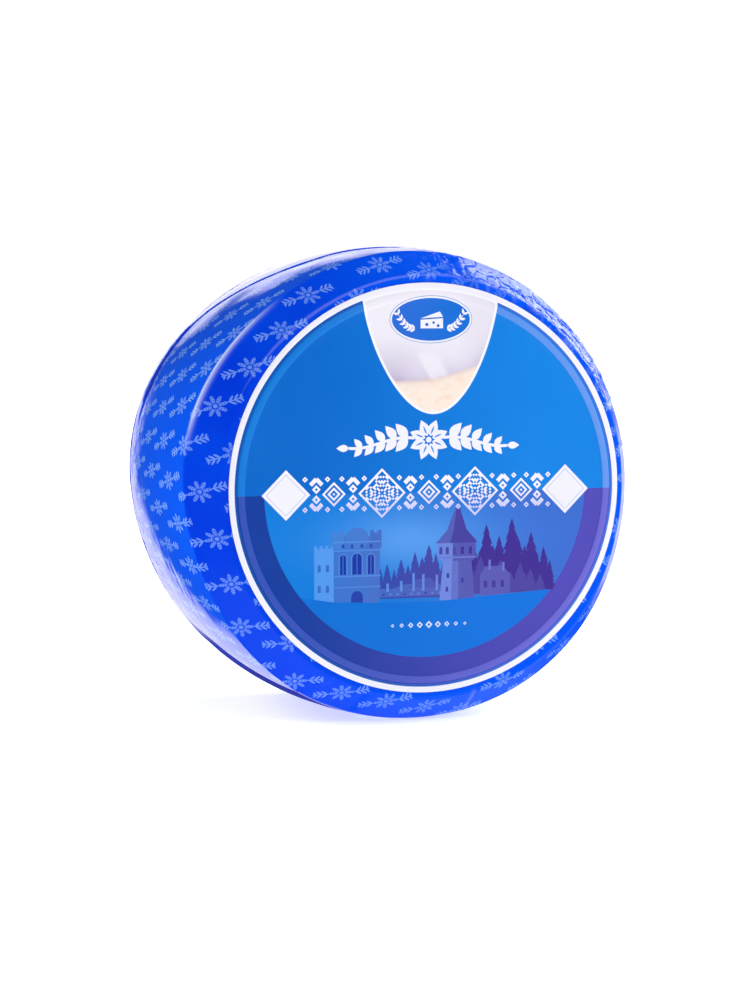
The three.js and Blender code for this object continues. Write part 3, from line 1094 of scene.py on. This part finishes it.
flat_places, _, cells, _, _, sources = mosaic
front = [
    (LABEL_CENTRE.x + x * MM, label_low.y - label_relief(x, z) * MM, LABEL_CENTRE.z + z * MM)
    for x, z in flat_places
]
rim = sorted(
    (i for i, place in enumerate(flat_places) if place.length > LABEL_RADIUS - 0.002),
    key=lambda i: math.atan2(flat_places[i].y, flat_places[i].x),
)
back = [(front[i][0], label_high.y, front[i][2]) for i in rim]
behind = list(range(len(front), len(front) + len(back)))
edge_pairs = list(zip(rim, behind))
sides = [
    (here, back_here, back_there, there)
    for (here, back_here), (there, back_there) in zip(edge_pairs, edge_pairs[1:] + edge_pairs[:1])
]
label_mesh = bpy.data.meshes.new("label")
label_mesh.from_pydata(front + back, [], cells + sides + [tuple(behind[::-1])])
shades = []
for cell, printed_by in zip(cells, sources):
    colour = layers[max(layer for layer in printed_by if layer < len(layers))][1]
    shades += [(*colour(*flat_places[corner]), 1) for corner in cell]
shades += [(*PAPER, 1)] * (len(label_mesh.loops) - len(shades))
ink_layer = label_mesh.color_attributes.new("ink", "FLOAT_COLOR", "CORNER")
ink_layer.data.foreach_set("color", np.array(shades).ravel())
label_mesh.shade_smooth()
label_mesh.set_sharp_from_angle(angle=math.radians(50))
label = bpy.data.objects.new("label", label_mesh)
bpy.context.scene.collection.objects.link(label)

label_material, shader = new_material("printed_label")
inks = shader.node("Attribute", {"attribute_name": "ink"}, {}, 0)
place = shader.node("TexCoord", {}, {}, 3)
mottle = shader.node("TexNoise", {}, {"Vector": place, "Scale": 30, "Detail": 3})
shaded = shader.node("HueSaturation", {}, {"Color": inks, "Value": 0.96 + mottle * 0.08})
peel = shader.node("TexNoise", {}, {"Vector": place, "Scale": 90, "Detail": 2})
drawn_flat = shader.node("Bump", {}, {"Height": peel, "Strength": 0.12, "Distance": 0.6 * MM})
surface = shader.node("BsdfPrincipled", {}, {
    "Base Color": shaded,
    "Roughness": 0.16 + mottle * 0.08,
    "Specular IOR Level": 0.3,
    "Coat Weight": 0.1,
    "Coat Roughness": 0.06,
    "Normal": drawn_flat,
})
shader.node("OutputMaterial", {}, {"Surface": surface})
label_mesh.materials.append(label_material)
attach(label, "root")
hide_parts("face_label")


# --- the floor, the lights and the camera ------------------------------------------------------------
# A pale matt table under the wheel, in a white studio: sheets of lit paper behind and below, a window at
# the right and two lamps. The camera stands low, a little to the left of the label's own axis.

FLOOR_REACH = 6  # metres to each side
floor_mesh = bpy.data.meshes.new("floor")
floor_corners = [(x * FLOOR_REACH, y * FLOOR_REACH, 0) for x, y in ((-1, -1), (1, -1), (1, 1), (-1, 1))]
floor_mesh.from_pydata(floor_corners, [], [(0, 1, 2, 3)])
floor = bpy.data.objects.new("floor", floor_mesh)
bpy.context.scene.collection.objects.link(floor)
floor_material, shader = new_material("pale_table")
surface = shader.node("BsdfPrincipled", {}, {
    "Base Color": (0.86, 0.86, 0.88, 1),
    "Roughness": 0.7,
    "Emission Color": (1, 1, 1, 1),
    "Emission Strength": 0.6,
})
shader.node("OutputMaterial", {}, {"Surface": surface})
floor.data.materials.append(floor_material)
floor.visible_glossy = False  # the studio below is what the film mirrors instead

# The studio round the wheel, as directions seen from it: how far round from +Y towards +X, how high,
# half the width, half the height and the softness in degrees, the colour and the strength.
PANELS = (
    ("paper behind", 18, -41, 24, 46, 2.0, (1.0, 0.93, 0.94), 1.1),
    ("lit top of the paper", 27, 8.4, 26, 4.0, 2.0, (1.0, 0.95, 1.0), 1.2),
    ("lit edge of the paper", 9, 16.6, 6, 2.0, 1.5, (1.0, 0.95, 1.0), 1.1),
    ("bright corner of the paper", 32, 14.0, 26, 1.6, 1, (1.0, 0.95, 1.0), 1.0),
    ("paper at the right", 85, -55, 32, 33, 8, (0.80, 0.90, 1.0), 0.35),
    ("paper in front", 190, -64, 50, 32, 8, (0.80, 0.78, 1.0), 0.25),
    ("window at the right", 84, 35, 26, 22, 4, (0.95, 0.94, 1.0), 5.5),
    ("lamp behind at the left", -66, 35, 24, 17, 3, (1.0, 1.0, 1.0), 5.0),
    ("lamp in front", 168, 38, 44, 15, 6, (1.0, 1.0, 1.0), 1.9),
)
world = bpy.data.worlds.new("studio")
bpy.context.scene.world = world
world.use_nodes = True
world.node_tree.nodes.clear()
sky = Wire(world.node_tree)
looking = sky.node("TexCoord", {}, {}, 0)
east, north, rise = parts(looking)
bearing = east.math("ARCTAN2", north) * (180 / math.pi)
height = rise.math("ARCSINE") * (180 / math.pi)
glow = sky.node("Background", {}, {"Color": (0.50, 0.60, 0.85, 1), "Strength": 0.05})
for name, round_to, up_to, half_wide, half_high, softness, colour, strength in PANELS:
    off = (bearing - round_to + 540).math("FLOORED_MODULO", 360) - 180
    inside = off.math("ABSOLUTE").ramp(half_wide + softness, half_wide - softness)
    inside = inside * (height - up_to).math("ABSOLUTE").ramp(half_high + softness, half_high - softness)
    panel = sky.node("Background", {"label": name}, {"Color": (*colour, 1), "Strength": inside * strength})
    glow = sky.node("AddShader", {}, {0: glow, 1: panel})
seen = sky.node("LightPath", {}, {}, 0)
plain_white = sky.node("Background", {}, {"Color": (1, 1, 1, 1), "Strength": 1.0})
both = sky.node("MixShader", {}, {0: seen, 1: glow, 2: plain_white})
sky.node("OutputWorld", {}, {"Surface": both})

VIEW_AZIMUTH = math.radians(-18.16)
VIEW_HEIGHT = math.radians(4.45)
VIEW_DISTANCE = 1.8
SENSOR = 36  # millimetres high
LENS_TO_SENSOR = 3.098
target = LABEL_CENTRE + Vector((-32.0, 0, -6.0)) * MM  # the middle of the wheel as the camera sees it
away = Vector((
    math.sin(VIEW_AZIMUTH) * math.cos(VIEW_HEIGHT),
    -math.cos(VIEW_AZIMUTH) * math.cos(VIEW_HEIGHT),
    math.sin(VIEW_HEIGHT),
))
camera = bpy.data.objects.new("camera", bpy.data.cameras.new("camera"))
bpy.context.scene.collection.objects.link(camera)
camera.location = target + VIEW_DISTANCE * away
camera.rotation_euler = (-away).to_track_quat("-Z", "Y").to_euler()
camera.data.sensor_fit = "VERTICAL"
camera.data.sensor_height = SENSOR
camera.data.lens = SENSOR * LENS_TO_SENSOR
bpy.context.scene.camera = camera
bpy.context.scene.view_settings.view_transform = "Standard"
